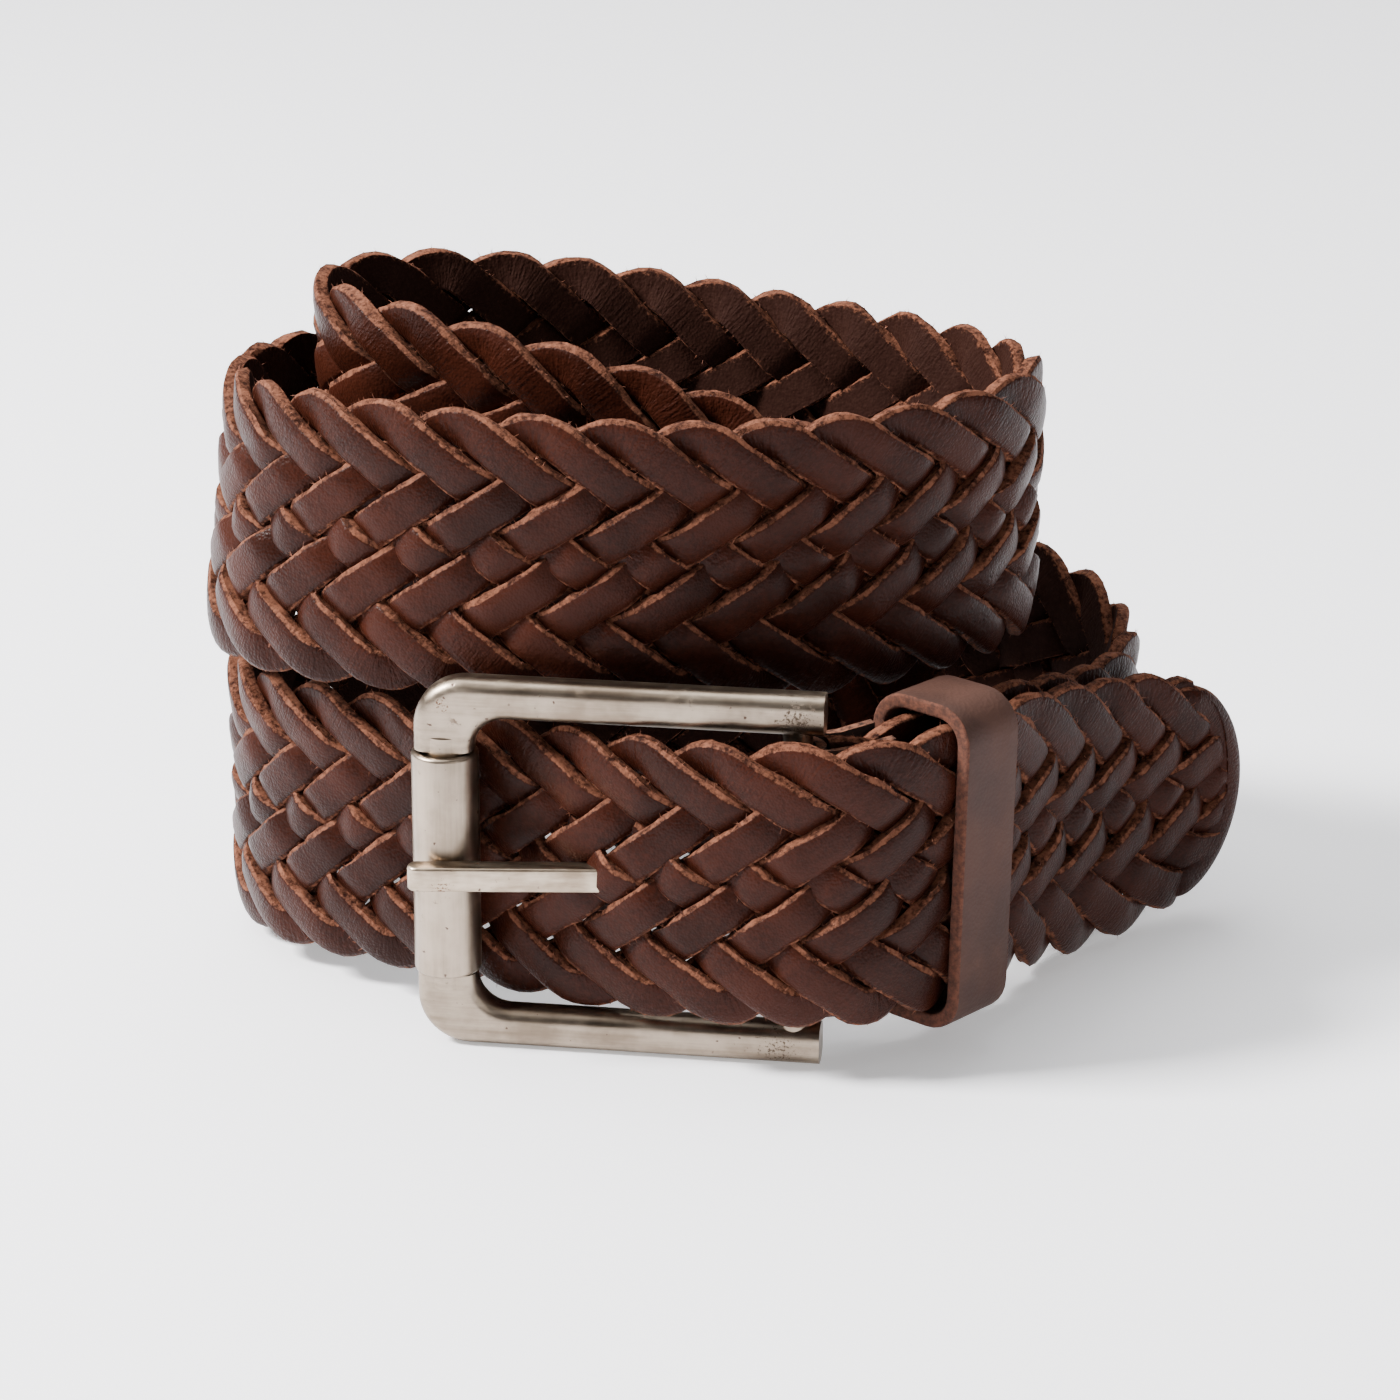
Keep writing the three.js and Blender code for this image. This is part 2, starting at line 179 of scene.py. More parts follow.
# Braided strap: ten strips of thick cowhide, each cut 5.6 mm wide, plaited flat with the grain side out.
# Every strip zigzags from edge to edge, over and under the others, and turns edgewise at each edge. The braid
# is wound in three turns: the lower outer one, the upper one, and an inner one that sinks to the table.
STRAP_WIDTH = 40
STRAP_THICKNESS = 4.4
TIP_LENGTH = 30
TIP_END_WIDTH = 12
COIL_WIDTH = 135
COIL_DEPTH = 72
TURN_PITCH = STRAP_THICKNESS + 0.7
RUNNING_GAP = 0.5
STRAP_LIFT = 6.2
BAR_SPACING = 47
ROLLER_RADIUS = 4.5
FOLD_RADIUS = 3.75
CLOSE_PITCH = STRAP_THICKNESS + RUNNING_GAP
CHAPE_ROOM = 2.1
STRAP_INSET = 7
BUCKLE_TURN = math.radians(8)
HINGE = np.array([0.1 * COIL_WIDTH, -COIL_DEPTH / 2 - 2 * TURN_PITCH])
ROLLER = HINGE + BAR_SPACING * np.array([-math.cos(BUCKLE_TURN), math.sin(BUCKLE_TURN)])
BUCKLE_BACK = np.array([math.sin(BUCKLE_TURN), math.cos(BUCKLE_TURN)])
COIL_ROWS = [
    # across, along, layer, lift, lean: lower outer turn, from behind the keeper round the right and the back
    (0.71, 0.0, 2, 0.0, 0),
    (0.81, 0.44, 2, 0.01, 0),
    (0.66, 0.85, 2, 0.13, 0),
    (0.3, 1.08, 2, 0.31, 0),
    (-0.14, 1.08, 2, 0.62, 0),
    (-0.58, 0.88, 2, 1.03, 2),
    (-0.82, 0.28, 2, 1.07, 6),
    # upper front, lying on the buckle's stretch
    (-0.89, -0.33, 1, 1.12, 7),
    (-0.61, -0.76, 1, 1.18, 4),
    (-0.2, -0.89, 1, 1.16, 0),
    (0.19, -0.72, 1, 1.11, -3),
    (0.5, -0.35, 1, 1.12, -3),
    (0.66, 0.11, 1, 1.09, 0),
    # upper back, rising to the left
    (0.51, 0.59, 1, 1.08, 0),
    (0.14, 0.86, 1, 1.1, 0),
    (-0.28, 0.92, 1, 1.24, 0),
    (-0.62, 0.67, 1, 1.32, -2),
    # inner turn, sinking to the right
    (-0.81, 0.26, 0, 1.34, -2),
    (-0.57, -0.16, 0, 1.33, 0),
    (-0.08, -0.38, 0, 1.16, 2),
    (0.33, -0.34, 0, 0.84, 2),
    (0.52, -0.08, 0, 0.58, 1),
    (0.46, 0.35, 0, 0.34, 0),
    # lower inner turn, down to the table at the back and round the left
    (0.21, 0.79, 0, 0.14, 0),
    (-0.31, 0.98, 0, 0.03, 0),
    (-0.76, 0.75, 0, 0.0, 0),
    (-0.99, 0.31, 0, 0.01, 0),
    (-0.91, -0.37, 0, 0.06, 0),
]
BUCKLE_ROWS = [(-0.13, -0.47, 0.85), (0.44, 1.03, 0.92), (0.97, 1.05, 1.3)]
FREE_END_ROWS = [
    (0.35, -1.2, 2, 0.19, 0),
    (0.51, -0.68, 2, 0.17, 0),
    (0.67, -0.23, 2, 0.01, 0),
    (1.0, 0.21, 2, 0.0, 0),
]
BUCKLE_END_ROWS = [(0, 0.3, 1), (0, 0.9, 0.4), (1, 0.5, 0)]
roller_low, roller_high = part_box("roller")
roller_middle = (roller_low + roller_high) / 2 / MM
SHIFT = np.array([roller_middle.x - ROLLER[0], roller_middle.y - ROLLER[1], 0])


def coil_point(across, along, layer, lift, lean):
    middle = np.array([across * COIL_WIDTH / 2, along * COIL_DEPTH / 2])
    middle += middle / np.linalg.norm(middle) * layer * TURN_PITCH
    return np.array([*middle, lift * STRAP_WIDTH, lean])


def buckle_point(share, bulge, lift):
    half = STRAP_THICKNESS / 2
    behind_roller = ROLLER + (ROLLER_RADIUS + RUNNING_GAP + half) * BUCKLE_BACK
    over_hinge = HINGE - (FOLD_RADIUS + RUNNING_GAP + half) * BUCKLE_BACK
    place = behind_roller + share * (over_hinge - behind_roller) - bulge * half * BUCKLE_BACK
    return np.array([*place, lift * STRAP_LIFT, 0])


def point_behind(row, share, room):
    """A point of the buckle end, which lies behind the free end inside the keeper"""
    way = free_end[row + 1][:3] - free_end[row][:3]
    inwards = np.array([-way[1], way[0], 0]) / math.hypot(way[0], way[1])
    return np.array([*(free_end[row][:3] + share * way + (CLOSE_PITCH + room * CHAPE_ROOM) * inwards), 0])


free_end = [coil_point(*row) for row in FREE_END_ROWS]
buckle_end = [point_behind(*row) for row in BUCKLE_END_ROWS]
start = np.array([*HINGE, STRAP_LIFT, 0])
way = buckle_end[0][:2] - start[:2]
start[:2] += STRAP_INSET * way / np.linalg.norm(way)
rows = [start, *buckle_end, *[coil_point(*row) for row in COIL_ROWS]]
rows += [*[buckle_point(*row) for row in BUCKLE_ROWS], *free_end]

# The route is a smooth curve near the rows, sampled closely and measured along its length.
control = np.array([2 * rows[0] - rows[1], *rows, 2 * rows[-1] - rows[-2]])
t = np.arange(24)[:, None] / 24
weights = [(1 - t) ** 3, 3 * t**3 - 6 * t**2 + 4, 3 * (t + t**2 - t**3) + 1, t**3]
spans = [sum(w * control[i + k] for k, w in enumerate(weights)) / 6 for i in range(len(rows) - 1)]
samples = np.vstack([*spans, rows[-1][None]])
route = samples[:, :3] + SHIFT
distance = np.concatenate([[0], np.cumsum(np.linalg.norm(np.diff(route, axis=0), axis=1))])
STRAP_LENGTH = distance[-1]
tangent = np.gradient(route, distance, axis=0)
tangent /= np.linalg.norm(tangent, axis=1)[:, None]
upward = np.array([0, 0, 1]) - tangent * tangent[:, 2:]
upward /= np.linalg.norm(upward, axis=1)[:, None]
outward = np.cross(tangent, upward)
lean = np.radians(samples[:, 3:])
leaning = upward * np.cos(lean) - outward * np.sin(lean)
outward = outward * np.cos(lean) + upward * np.sin(lean)
upward = leaning


def on_strap(along, up, out):
    """Points in metres at these millimetres along the strap, up its width and out from its middle"""
    clipped = np.clip(along, 0, STRAP_LENGTH)
    middle, rise, side, ahead = [
        np.stack([np.interp(clipped, distance, values[:, k]) for k in range(3)], -1)
        for values in (route, upward, outward, tangent)
    ]
    middle[..., 2] += STRAP_WIDTH / 2
    past = (along - clipped)[..., None] * ahead
    return (middle + past + up[..., None] * rise + out[..., None] * side) * MM


STRANDS = 10
HUMP_TARGET = 10.3
HUMP_PITCH = STRAP_LENGTH / round(STRAP_LENGTH / HUMP_TARGET)
ZIGZAG = STRANDS * HUMP_PITCH
STRIP_WIDTH = 5.6
STRIP_THICKNESS = 2.1
WEAVE_LIFT = 1.15
WEAVE_ROLL = math.tan(math.radians(8))
PRONG_BULGE = 1.9
PRONG_BULGE_PLACE = STRAP_LENGTH - 117
PRONG_BULGE_REACH = (9, 7)
CUT_UNEVENNESS = 0.25
PUCKER_REACH = 5
FIBRE_SPREAD = 0.45
BARE_ENDS = (2, 8)
SHARP_ANGLE = math.radians(38)
TURN_LENGTH = 3.2
STEPS_PER_CROSSING = 5
LOOP_LENGTH = 11
LOOP_HALF = 15
LOOP_COVER = 3.6
# At each of the twenty crossings of one zigzag the strip lies over (1) or under (-1) the one it meets.
OVER = {1: 1, 2: 1, 3: -1, 4: -1, 5: 1, 6: -1, 7: -1, 8: 1, 9: 1}
OVER.update({20 - k: -v for k, v in OVER.items()})
# The strip's section as shares of its half width, from the upper edge, and of its half thickness.
GRAIN = [(0.88, 0.84), (0.74, 1.0), (0.3, 1.14), (-0.3, 1.14), (-0.74, 1.0), (-0.88, 0.84)]
LOWER_CUT = [(-1.0, 0.5), (-0.99, -0.6)]
FLESH = [(-0.93, -1.0), (-0.35, -1.0), (0.35, -1.0), (0.93, -1.0)]
UPPER_CUT = [(0.99, -0.6), (1.0, 0.5)]
SECTION = np.array(GRAIN + LOWER_CUT + FLESH + UPPER_CUT)
# Share of the light cut-edge colour at each point of the section. The lower cut edge and lower corners take
# less than the upper ones: painted shade on the edges that face down.
CUT_SHARE_WITH_PAINTED_SHADE = np.array([0.75, 0, 0, 0, 0, 0.4, 0.7, 0.7, 0.4, 0, 0, 0.5, 1, 1])
FLESH_SHARE = np.array([0] * 6 + [0.2, 0.6] + [1] * 4 + [0.6, 0.2])
# Loose fibres grow from these corners of the section, and most of them from the front one of the upper cut.
FIBRE_CORNERS = [6, 7, 12, 13, 13]
FIBRES_PER_STRIP = 1600
fibre_roots, fibre_ways = [], []


def braid_height(place):
    """How far out a strip lies at a place counted in crossings, between -1 and 1"""
    turn = np.mod(place, 20)
    knots = sorted(OVER)
    knots = [knots[-1] - 20, *knots, knots[0] + 20]
    values = [OVER[k % 20] for k in knots]
    i = np.clip(np.searchsorted(knots, turn, side="right") - 1, 0, len(knots) - 2)
    low, high = np.array(knots)[i], np.array(knots)[i + 1]
    share = (1 - np.cos(math.pi * (turn - low) / (high - low))) / 2
    return np.array(values)[i] * (1 - share) + np.array(values)[i + 1] * share


def zigzag(place, peak, slope):
    """Height across the strap and slope of a strip's middle line at a place along it, in millimetres"""
    along = np.mod(place, ZIGZAG)
    to_top = np.minimum(along, ZIGZAG - along)
    falling = np.where(along < ZIGZAG / 2, -1, 1)
    to_bottom = ZIGZAG / 2 - to_top
    height = peak - slope * to_top
    steep = slope * falling * np.ones_like(along)
    near_top, near_bottom = to_top < TURN_LENGTH, to_bottom < TURN_LENGTH
    rounded = slope * (TURN_LENGTH**2 + np.where(near_top, to_top, to_bottom) ** 2) / (2 * TURN_LENGTH)
    height = np.where(near_top, peak - rounded, np.where(near_bottom, rounded - peak, height))
    steep = np.where(near_top, steep * to_top / TURN_LENGTH, steep)
    steep = np.where(near_bottom, steep * to_bottom / TURN_LENGTH, steep)
    return height, steep


def tip_share(along):
    """The strap's width as a share of its full width, which falls to the rounded tip"""
    to_tip = np.clip(TIP_LENGTH - (STRAP_LENGTH - along), 0, TIP_LENGTH) / TIP_LENGTH
    taper = 1 - np.sqrt(np.maximum(1 - to_tip**2, 0))
    return 1 - (STRAP_WIDTH - TIP_END_WIDTH) / STRAP_WIDTH * taper


def end_of_braid(up):
    """How far along the strap the strips may reach at this height, with their ends under the last loop"""
    reach = (LOOP_LENGTH - LOOP_COVER) * np.sqrt(np.maximum(1 - (up / LOOP_HALF) ** 2, 0))
    return STRAP_LENGTH - LOOP_LENGTH + reach


def finish_piece(piece, material, node, body="belt"):
    """Gives a piece its material and lets it stand for its CAD node"""
    piece.data.materials.clear()
    piece.data.materials.append(material)
    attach(piece, body)
    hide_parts(node)


def ring_mesh(name, rings, run, turned):
    """A closed strip through rings of points, with the values that its leather reads"""
    count, sides = rings.shape[:2]
    ring = np.arange(sides)
    quads = []
    for i in range(count - 1):
        a, b = i * sides + ring, i * sides + np.roll(ring, -1)
        quads += np.stack([a, a + sides, b + sides, b], 1).tolist()
    ends = [ring.tolist(), ((count - 1) * sides + ring[::-1]).tolist()]
    mesh = bpy.data.meshes.new(name)
    mesh.from_pydata(rings.reshape(-1, 3).tolist(), [], quads + ends)
    values = {
        "cut": np.tile(CUT_SHARE_WITH_PAINTED_SHADE, (count, 1)),
        "flesh": np.tile(FLESH_SHARE, (count, 1)),
        "run": np.tile(run[:, None], (1, sides)),
        "across": np.tile(SECTION[:, 0], (count, 1)),
        "turned": np.tile(turned[:, None], (1, sides)),
    }
    for key, array in values.items():
        attribute = mesh.attributes.new(key, "FLOAT", "POINT")
        attribute.data.foreach_set("value", array.astype(np.float32).ravel())
    mesh.shade_smooth()
    mesh.set_sharp_from_angle(angle=SHARP_ANGLE)
    strip = bpy.data.objects.new(name, mesh)
    bpy.context.scene.collection.objects.link(strip)
    return strip


def make_strip(name, phase, random):
    step = HUMP_PITCH / 2 / STEPS_PER_CROSSING
    along = np.linspace(0, STRAP_LENGTH, int(STRAP_LENGTH / step))
    place = along - phase
    peak_slope = (STRAP_WIDTH - STRIP_WIDTH) / (ZIGZAG / 2 - TURN_LENGTH)
    height, slope = zigzag(place, peak_slope * ZIGZAG / 4, peak_slope)
    out = WEAVE_LIFT * braid_height(place / HUMP_PITCH * 2)
    # The prong dives under a strip here, and lifts those that it passes under.
    bulge_along, bulge_up = PRONG_BULGE_REACH
    from_bulge = ((along - PRONG_BULGE_PLACE) / bulge_along) ** 2 + (height / bulge_up) ** 2
    out += PRONG_BULGE * np.exp(-from_bulge)
    length = np.hypot(1, slope)
    side_along, side_up = -slope / length, 1 / length
    across = SECTION[:, 0][None] * STRIP_WIDTH / 2
    depth = SECTION[:, 1][None] * STRIP_THICKNESS / 2
    jitter = random.normal(0, 1, (len(along), len(SECTION)))
    jitter = (jitter + np.roll(jitter, 1, 0) + np.roll(jitter, -1, 0)) / 3
    across = across + CUT_UNEVENNESS * jitter * CUT_SHARE_WITH_PAINTED_SHADE
    at = np.maximum(along[:, None] + across * side_along[:, None], 0)
    up = height[:, None] * tip_share(at) + across * side_up[:, None]
    at = np.minimum(at, end_of_braid(up))
    outward_place = out[:, None] + depth + WEAVE_ROLL * across
    run = np.concatenate([[0], np.cumsum(np.hypot(np.diff(along), np.diff(height)))])
    from_edge = STRAP_WIDTH / 2 - STRIP_WIDTH / 2 - np.abs(height)
    near_edge = np.exp(-((from_edge / PUCKER_REACH) ** 2))
    rings = on_strap(at, up, outward_place)
    stations = random.integers(BARE_ENDS[0], len(along) - BARE_ENDS[1], FIBRES_PER_STRIP)
    sides = random.choice(FIBRE_CORNERS, FIBRES_PER_STRIP)
    roots = rings[stations, sides]
    away = roots - rings[stations].mean(axis=1)
    away /= np.linalg.norm(away, axis=1)[:, None]
    fibre_roots.append(roots)
    fibre_ways.append(away + random.normal(0, FIBRE_SPREAD, away.shape))
    return ring_mesh(name, rings, run, near_edge)


def value(paint, attribute):
    """What a piece's own attribute says"""
    return paint.node("ShaderNodeAttribute", {"attribute_name": attribute}, output=2)


def noise(place, scale, detail, rough=0.5):
    """Values from 0 to 1 that vary from place to place, the finer the larger the scale is"""
    inputs = {"Vector": place, "Scale": scale, "Detail": detail, "Roughness": rough}
    return place.node("ShaderNodeTexNoise", {}, inputs)


def leather_material(name, grain_colour, dark_colour, cut_colour, flesh_colour):
    material, shader, paint = new_material(name)
    place = paint.node("ShaderNodeTexCoord", output=3)
    cut, flesh = value(paint, "cut"), value(paint, "flesh")
    clouds = noise(place, 60, 3)
    fibre = noise(place, 1500, 4, 0.7)
    pores = paint.node("ShaderNodeTexVoronoi", {}, {"Vector": place, "Scale": 2600})
    folds = noise(place, 420, 3, 0.55)
    grain = (clouds * 0.6 + fibre * 0.4).step(0.38, 0.62).mixed(dark_colour, grain_colour)
    flesh_paint = fibre.step(0.3, 0.75).mixed(dark_colour, flesh_colour)
    surface = flesh.step(0.5, 0.9).mixed(grain, flesh_paint)
    cut_paint = (fibre * 0.6 + folds * 0.4).step(0.36, 0.62).mixed(dark_colour, cut_colour)
    # Where the light cut-edge colour goes. On the braid the lower cut edges get less of it, as painted shade.
    cut_mask = (cut + (fibre - 0.5) * 1.1).step(0.4, 0.7)
    colour = cut_mask.mixed(surface, cut_paint)
    colour.feed(shader.inputs["Base Color"])
    rough = 0.28 + clouds * 0.18 + cut_mask * 0.4 + flesh.step(0.5, 0.9) * 0.4
    rough.feed(shader.inputs["Roughness"])
    on_strip = {"X": value(paint, "run") * 1.1, "Y": value(paint, "across") * 0.5, "Z": flesh}
    wrinkles = noise(paint.node("ShaderNodeCombineXYZ", {}, on_strip), 2.2, 2)
    pebbles = (folds * 0.7 - pores * 0.5) * (1 - cut_mask)
    height = pebbles + fibre * (0.2 + cut_mask * 1.2) + wrinkles * value(paint, "turned") * 1.6
    bump = paint.node("ShaderNodeBump", {}, {"Strength": 0.8, "Distance": 0.16 * MM, "Height": height})
    bump.feed(shader.inputs["Normal"])
    shader.inputs["Specular IOR Level"].default_value = 0.08
    return material


braid_leather = leather_material(
    "braid leather", linear(51, 22, 13), linear(33, 12, 6), linear(114, 72, 54), linear(42, 22, 15)
)
rng = np.random.default_rng(7)
for k in range(STRANDS):
    strip = make_strip(f"braid_strip_{k + 1:02d}", k * HUMP_PITCH, rng)
    finish_piece(strip, braid_leather, "braided_strap")


# Loose fibres: short ends of the hide that stand out from the strips' cut edges, each a thin spike.
FIBRE_THICKNESS = 0.045
FIBRE_LENGTHS = (0.25, 0.95)
FIBRE_ROOT = 0.1
TABLE_CLEARANCE = 0.1
roots, ways = np.vstack(fibre_roots), np.vstack(fibre_ways)
ways /= np.linalg.norm(ways, axis=1)[:, None]
lengths = rng.uniform(*FIBRE_LENGTHS, len(roots))[:, None] * MM
above_table = (roots + ways * lengths)[:, 2] > TABLE_CLEARANCE * MM
roots, ways, lengths = roots[above_table], ways[above_table], lengths[above_table]
sideways = np.cross(ways, rng.normal(0, 1, ways.shape))
sideways /= np.linalg.norm(sideways, axis=1)[:, None]
third = np.cross(ways, sideways)
thick = FIBRE_THICKNESS * MM
corners = [sideways, third * 0.87 - sideways * 0.5, -third * 0.87 - sideways * 0.5]
feet = roots - ways * FIBRE_ROOT * MM
points = np.stack([*[feet + corner * thick for corner in corners], roots + ways * lengths], 1).reshape(-1, 3)
first = 4 * np.arange(len(roots))[:, None]
faces = np.vstack([first + f for f in ([0, 2, 1], [0, 1, 3], [1, 2, 3], [2, 0, 3])])
mesh = bpy.data.meshes.new("braid_fibres")
mesh.from_pydata(points.tolist(), [], faces.tolist())
fibres = bpy.data.objects.new("braid_fibres", mesh)
bpy.context.scene.collection.objects.link(fibres)
material, shader, paint = new_material("fibre")
place = paint.node("ShaderNodeTexCoord", output=3)
fibre_colour = noise(place, 400, 2).step(0.35, 0.65).mixed(linear(84, 46, 32), linear(146, 90, 66))
fibre_colour.feed(shader.inputs["Base Color"])
shader.inputs["Roughness"].default_value = 0.8
finish_piece(fibres, material, "braided_strap")


# Tip of the strap: the last strand, led round the end in a loop over the others' ends and back into the
# braid. It is the same cowhide strip, and it gives the tip its rounded point.
LOOP_STRIP_WIDTH = 5
LOOP_STRIP_THICKNESS = 3.6
LOOP_SUNK_LENGTH = 6
LOOP_SINK = 1.6
LOOP_THINNING = 0.4
LOOP_LIFT = 0.25
LOOP_SPREAD = 1
LOOP_NARROWING = 0.12
LOOP_PUCKER = 0.6
loop_angles = np.radians(np.linspace(128, -128, 70))
loop_along = -LOOP_LENGTH + (LOOP_LENGTH - LOOP_STRIP_WIDTH / 2) * np.cos(loop_angles)
loop_up = (LOOP_HALF - LOOP_STRIP_WIDTH / 2 + LOOP_SPREAD) * np.sin(loop_angles)
loop_up *= 1 - LOOP_NARROWING * np.cos(loop_angles)
loop_run = np.concatenate([[0], np.cumsum(np.hypot(np.diff(loop_along), np.diff(loop_up)))])
loop_ahead = np.stack([np.gradient(loop_along, loop_run), np.gradient(loop_up, loop_run)], -1)
loop_sunk = 1 - np.clip(np.minimum(loop_run, loop_run[-1] - loop_run) / LOOP_SUNK_LENGTH, 0, 1)
loop_across = SECTION[:, 0][None] * LOOP_STRIP_WIDTH / 2
loop_half = LOOP_STRIP_THICKNESS / 2 * (1 - LOOP_THINNING * loop_sunk)[:, None]
at = STRAP_LENGTH + loop_along[:, None] - loop_ahead[:, 1:] * loop_across
up = loop_up[:, None] + loop_ahead[:, :1] * loop_across
out = SECTION[:, 1][None] * loop_half - LOOP_SINK * loop_sunk[:, None] + LOOP_LIFT
loop = ring_mesh("braid_tip_loop", on_strap(at, up, out), loop_run, np.full(len(loop_run), LOOP_PUCKER))
finish_piece(loop, braid_leather, "braided_strap")


# Chape: a strip of thin plain leather folded round the hinge bar, its two tails holding the strap's end
# between them. It has a slot for the prong's eye, and its cut edges are lighter than its dark grain side.
CHAPE_THICKNESS = 1.4
CHAPE_FIT = 0.35
CHAPE_WIDTH = 38
CHAPE_TAIL = 5.1
CHAPE_EDGE = 0.25
FRAME_MIDDLE = STRAP_LIFT + STRAP_WIDTH / 2
PRONG_HEIGHT = 3.4
SLOT_HALF = PRONG_HEIGHT / 2 + 0.4
# Heights of extra rows of points, which keep the flat sides evenly shaded up to their rounded edges
CHAPE_ROWS = (14, 20, 33, 39)


def select_only(*pieces):
    """Leaves edit mode, selects these pieces and no others, and makes the last of them active"""
    if bpy.context.object and bpy.context.object.mode == "EDIT":
        bpy.ops.object.mode_set(mode="OBJECT")
    bpy.ops.object.select_all(action="DESELECT")
    for piece in pieces:
        piece.select_set(True)
        bpy.context.view_layer.objects.active = piece


def start_piece(name):
    """Names the new primitive and opens it for editing with everything selected"""
    piece = bpy.context.object
    piece.name = name
    bpy.ops.object.transform_apply(location=True, rotation=True, scale=True)
    bpy.ops.object.mode_set(mode="EDIT")
    bpy.ops.mesh.select_all(action="SELECT")
    return piece


def pick(piece, kind, wanted):
    """Selects only the faces or edges whose middle, and normal or direction, are as wanted, in millimetres"""
    bpy.ops.object.mode_set(mode="OBJECT")
    mesh = piece.data
    for part in (*mesh.vertices, *mesh.edges, *mesh.polygons):
        part.select = False
    for part in mesh.polygons if kind == "FACE" else mesh.edges:
        points = [mesh.vertices[i].co / MM for i in part.vertices]
        middle = sum(points, Vector()) / len(points)
        along = part.normal if kind == "FACE" else (points[1] - points[0]).normalized()
        part.select = bool(wanted(middle, along))
    bpy.ops.object.mode_set(mode="EDIT")
    bpy.ops.mesh.select_mode(type=kind)


def extrude(x, y, z):
    bpy.ops.mesh.extrude_region_move(TRANSFORM_OT_translate={"value": Vector((x, y, z)) * MM})


def cut_along(place, way, **settings):
    """Cuts the piece that is open for editing along a plane through this place, in millimetres"""
    bpy.ops.mesh.select_all(action="SELECT")
    bpy.ops.mesh.bisect(plane_co=[value * MM for value in place], plane_no=way, **settings)


def close_piece():
    """Turns every face outwards and leaves edit mode"""
    bpy.ops.mesh.select_all(action="SELECT")
    bpy.ops.mesh.normals_make_consistent(inside=False)
    bpy.ops.object.mode_set(mode="OBJECT")


def apply_modifiers(piece):
    select_only(piece)
    for modifier in list(piece.modifiers):
        bpy.ops.object.modifier_apply(modifier=modifier.name)


def soften(piece, width, segments, clamped=True):
    """Rounds every edge that is sharper than 50 degrees"""
    bevel = piece.modifiers.new("edges", "BEVEL")
    bevel.use_clamp_overlap = clamped
    bevel.width = width * MM
    bevel.segments = segments
    bevel.limit_method = "ANGLE"
    bevel.angle_limit = math.radians(50)


def dress(piece, material, node, body="belt", smooth=40):
    """Smooths a piece and finishes it"""
    select_only(piece)
    bpy.ops.object.shade_smooth_by_angle(angle=math.radians(smooth))
    finish_piece(piece, material, node, body)


def plain_leather_material(name, light_colour, dark_colour, edge_colour, scar_colour):
    material, shader, paint = new_material(name)
    place = paint.node("ShaderNodeTexCoord", output=3)
    clouds, fibre, creases = noise(place, 90, 3), noise(place, 1300, 4, 0.7), noise(place, 260, 5, 0.65)
    pores = paint.node("ShaderNodeTexVoronoi", {}, {"Vector": place, "Scale": 1900})
    cut = value(paint, "cut")
    grain = (clouds * 0.7 + creases * 0.3).step(0.36, 0.64).mixed(dark_colour, light_colour)
    worn = creases.step(0.62, 0.8).mixed(grain, scar_colour)
    edge = fibre.step(0.3, 0.7).mixed(dark_colour, edge_colour)
    cut_mask = (cut + (fibre - 0.5) * 0.5).step(0.4, 0.7)
    cut_mask.mixed(worn, edge).feed(shader.inputs["Base Color"])
    rough = 0.6 + clouds * 0.15 + cut_mask * 0.25
    rough.feed(shader.inputs["Roughness"])
    height = pores * 0.45 + creases * 0.7 + fibre * (0.3 + cut_mask * 0.8)
    bump = paint.node("ShaderNodeBump", {}, {"Strength": 0.5, "Distance": 0.2 * MM, "Height": height})
    bump.feed(shader.inputs["Normal"])
    shader.inputs["Specular IOR Level"].default_value = 0.27
    return material


def mark_cut(piece, is_cut):
    """Writes which faces of a piece are cut edges, for the material"""
    mesh = piece.data
    layer = mesh.attributes.new("cut", "FLOAT", "POINT")
    values = np.zeros(len(mesh.vertices), np.float32)
    for face in mesh.polygons:
        if is_cut(face):
            values[list(face.vertices)] = 1
    layer.data.foreach_set("value", values)


chape_leather = plain_leather_material(
    "chape leather", linear(58, 34, 27), linear(32, 19, 15), linear(128, 84, 64), linear(74, 48, 40)
)
hinge_place = np.array([*HINGE, FRAME_MIDDLE]) + SHIFT
tail_points = on_strap(np.linspace(0, CHAPE_TAIL, 4), np.zeros(4), np.zeros(4)) / MM
tail_lead = tail_points[-1] - tail_points[0]
tail_lead /= np.linalg.norm(tail_lead)
tail_side = np.array([tail_lead[1], -tail_lead[0], 0])
tail_side /= np.linalg.norm(tail_side)
fold_middle = FOLD_RADIUS - CHAPE_THICKNESS / 2
tail_offset = STRAP_THICKNESS / 2 + CHAPE_FIT + CHAPE_THICKNESS / 2
tail_end = Vector(tail_points[-1] + tail_offset * tail_side)
tail_root = Vector(tail_points[0] + tail_offset * tail_side)
fold_start = Vector(hinge_place + fold_middle * tail_side)
back_root = Vector(tail_points[0] - tail_offset * tail_side)
back_end = Vector(tail_points[-1] - tail_offset * tail_side)
select_only()
bpy.ops.mesh.primitive_plane_add(size=1)
chape = bpy.context.object
chape.name = "chape_fold"
corners = [(tail_end, -1), (tail_root, -1), (tail_root, 1), (tail_end, 1)]
for vertex, (corner, side) in zip([chape.data.vertices[i] for i in (0, 1, 3, 2)], corners):
    vertex.co = (corner + Vector((0, 0, side * CHAPE_WIDTH / 2))) * MM
bpy.ops.object.mode_set(mode="EDIT")
pick(chape, "EDGE", lambda middle, along: abs(along.z) > 0.9 and (middle - tail_root).length < 0.1)
extrude(*(fold_start - tail_root))
bpy.ops.mesh.spin(steps=14, angle=-math.pi, center=Vector(hinge_place) * MM, axis=(0, 0, 1))
